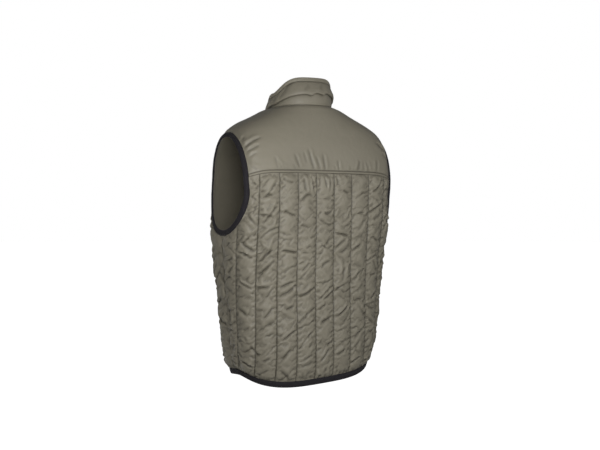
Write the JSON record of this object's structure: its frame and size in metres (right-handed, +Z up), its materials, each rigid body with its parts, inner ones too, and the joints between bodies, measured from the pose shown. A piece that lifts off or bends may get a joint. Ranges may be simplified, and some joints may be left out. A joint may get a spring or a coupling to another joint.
{
  "type": "ultralight vest",
  "caption": "Worn ultralight padded vest with stand-up collar, plain yoke, upright quilted channels, bound armholes and hem, and a front zip.",
  "frame": {"origin": "on the neck's axis, level with the tops of the shoulders, where the wearer's shoulders hold the vest", "axes": "+Z up, the wearer faces -Y, +X is the wearer's left"},
  "size_m": [0.4272, 0.2678, 0.7214],
  "materials": {
    "shell_cloth": "olive-grey woven nylon with a slight sheen",
    "elastic": "black ribbed elastic, matte",
    "zip_tape": "dark woven tape, matte",
    "zip_metal": "dark enamelled zip metal, satin"
  },
  "bodies": {
    "vest": {"yoke": "shell_cloth", "back_panel": "shell_cloth", "front_left": "shell_cloth", "front_right": "shell_cloth", "collar": "shell_cloth", "hem_binding": "elastic", "armhole_binding_left": "elastic", "armhole_binding_right": "elastic", "zip_tape_left": "zip_tape", "zip_tape_right": "zip_tape", "zip_teeth_left": "zip_metal", "zip_teeth_right": "zip_metal", "zip_box": "zip_metal", "zip_slider": "zip_metal"},
    "pull": {"zip_pull": "zip_metal"}
  },
  "joints": [
    {"name": "pull_swing", "type": "hinge", "parent": "vest", "child": "pull", "pos_m": [0, -0.08655, -0.0299], "axis": [-1, 0, 0], "range_deg": [0, 150]}
  ]
}
